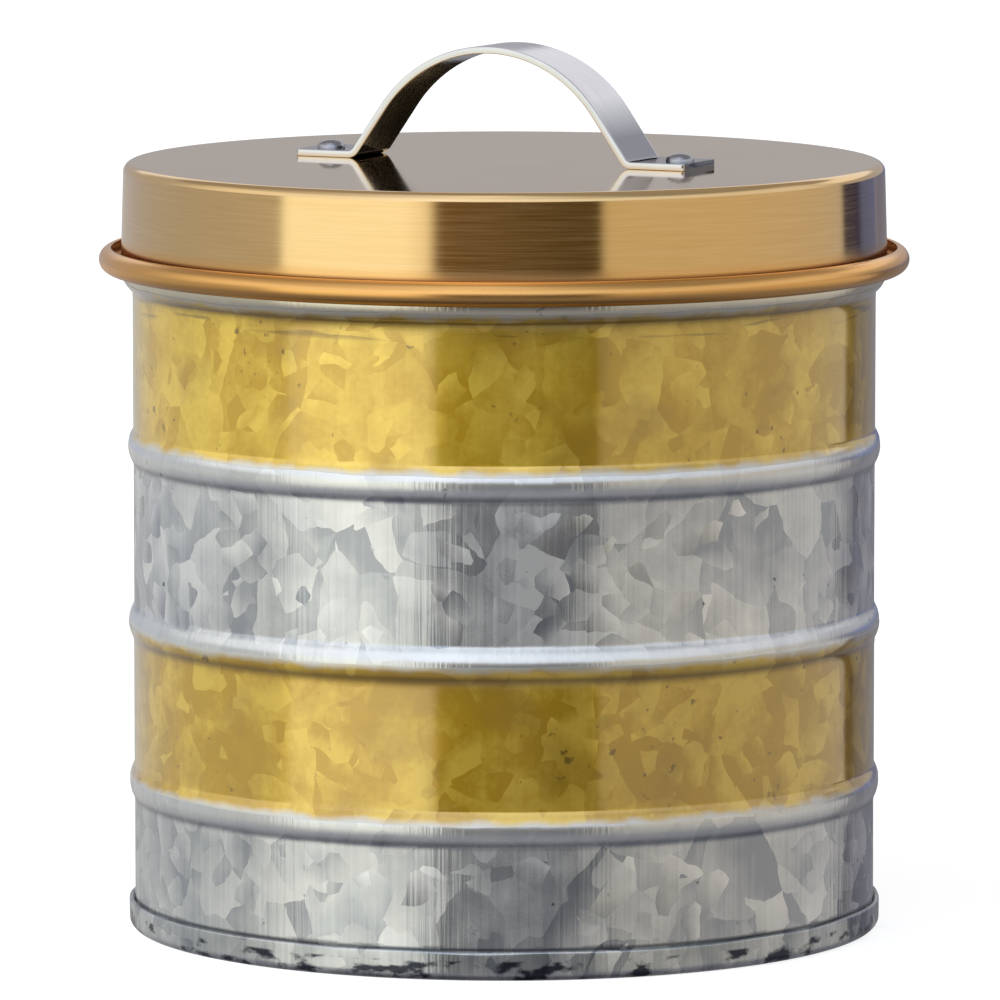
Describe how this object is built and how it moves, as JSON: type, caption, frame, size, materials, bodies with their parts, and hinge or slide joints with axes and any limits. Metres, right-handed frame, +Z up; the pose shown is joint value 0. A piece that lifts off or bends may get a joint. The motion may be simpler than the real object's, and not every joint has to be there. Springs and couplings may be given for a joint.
{
  "type": "lidded metal canister",
  "caption": "Round galvanised steel jar for candles with rolled beads, two gold lacquered bands and a copper-toned slip-over lid with a riveted strap handle.",
  "frame": {"origin": "centre of the base on the plane that the canister stands on", "axes": "+Z up along the canister's axis, +X along the lid's handle, +Y towards the wall's lock seam at the back"},
  "size_m": [0.1396, 0.1396, 0.1526],
  "materials": {
    "galvanised_sheet": "satin",
    "galvanised_base": "satin",
    "sealing_compound": "matte",
    "gold_lacquer": "gloss",
    "copper_lid": "gloss",
    "seal_foam": "matte",
    "polished_strap": "gloss",
    "rivet_steel": "gloss"
  },
  "bodies": {
    "jar": {"jar_wall": "galvanised_sheet", "base_pan": "galvanised_base", "seam_compound": "sealing_compound", "lower_gold_coat": "gold_lacquer", "upper_gold_coat": "gold_lacquer"},
    "seal": {"lid_seal": "seal_foam"},
    "lid": {"lid_cap": "copper_lid", "handle_strap": "polished_strap", "rivet_left": "rivet_steel", "rivet_right": "rivet_steel", "rivet_washer_left": "rivet_steel", "rivet_washer_right": "rivet_steel"}
  },
  "joints": [
    {"name": "lid_lift", "type": "slide", "parent": "jar", "child": "seal", "axis": [0, 0, 1], "range_m": [0, 0.15]},
    {"name": "lid_turn", "type": "hinge", "parent": "seal", "child": "lid", "pos_m": [0, 0, 0.1323], "axis": [0, 0, 1], "continuous": true}
  ]
}
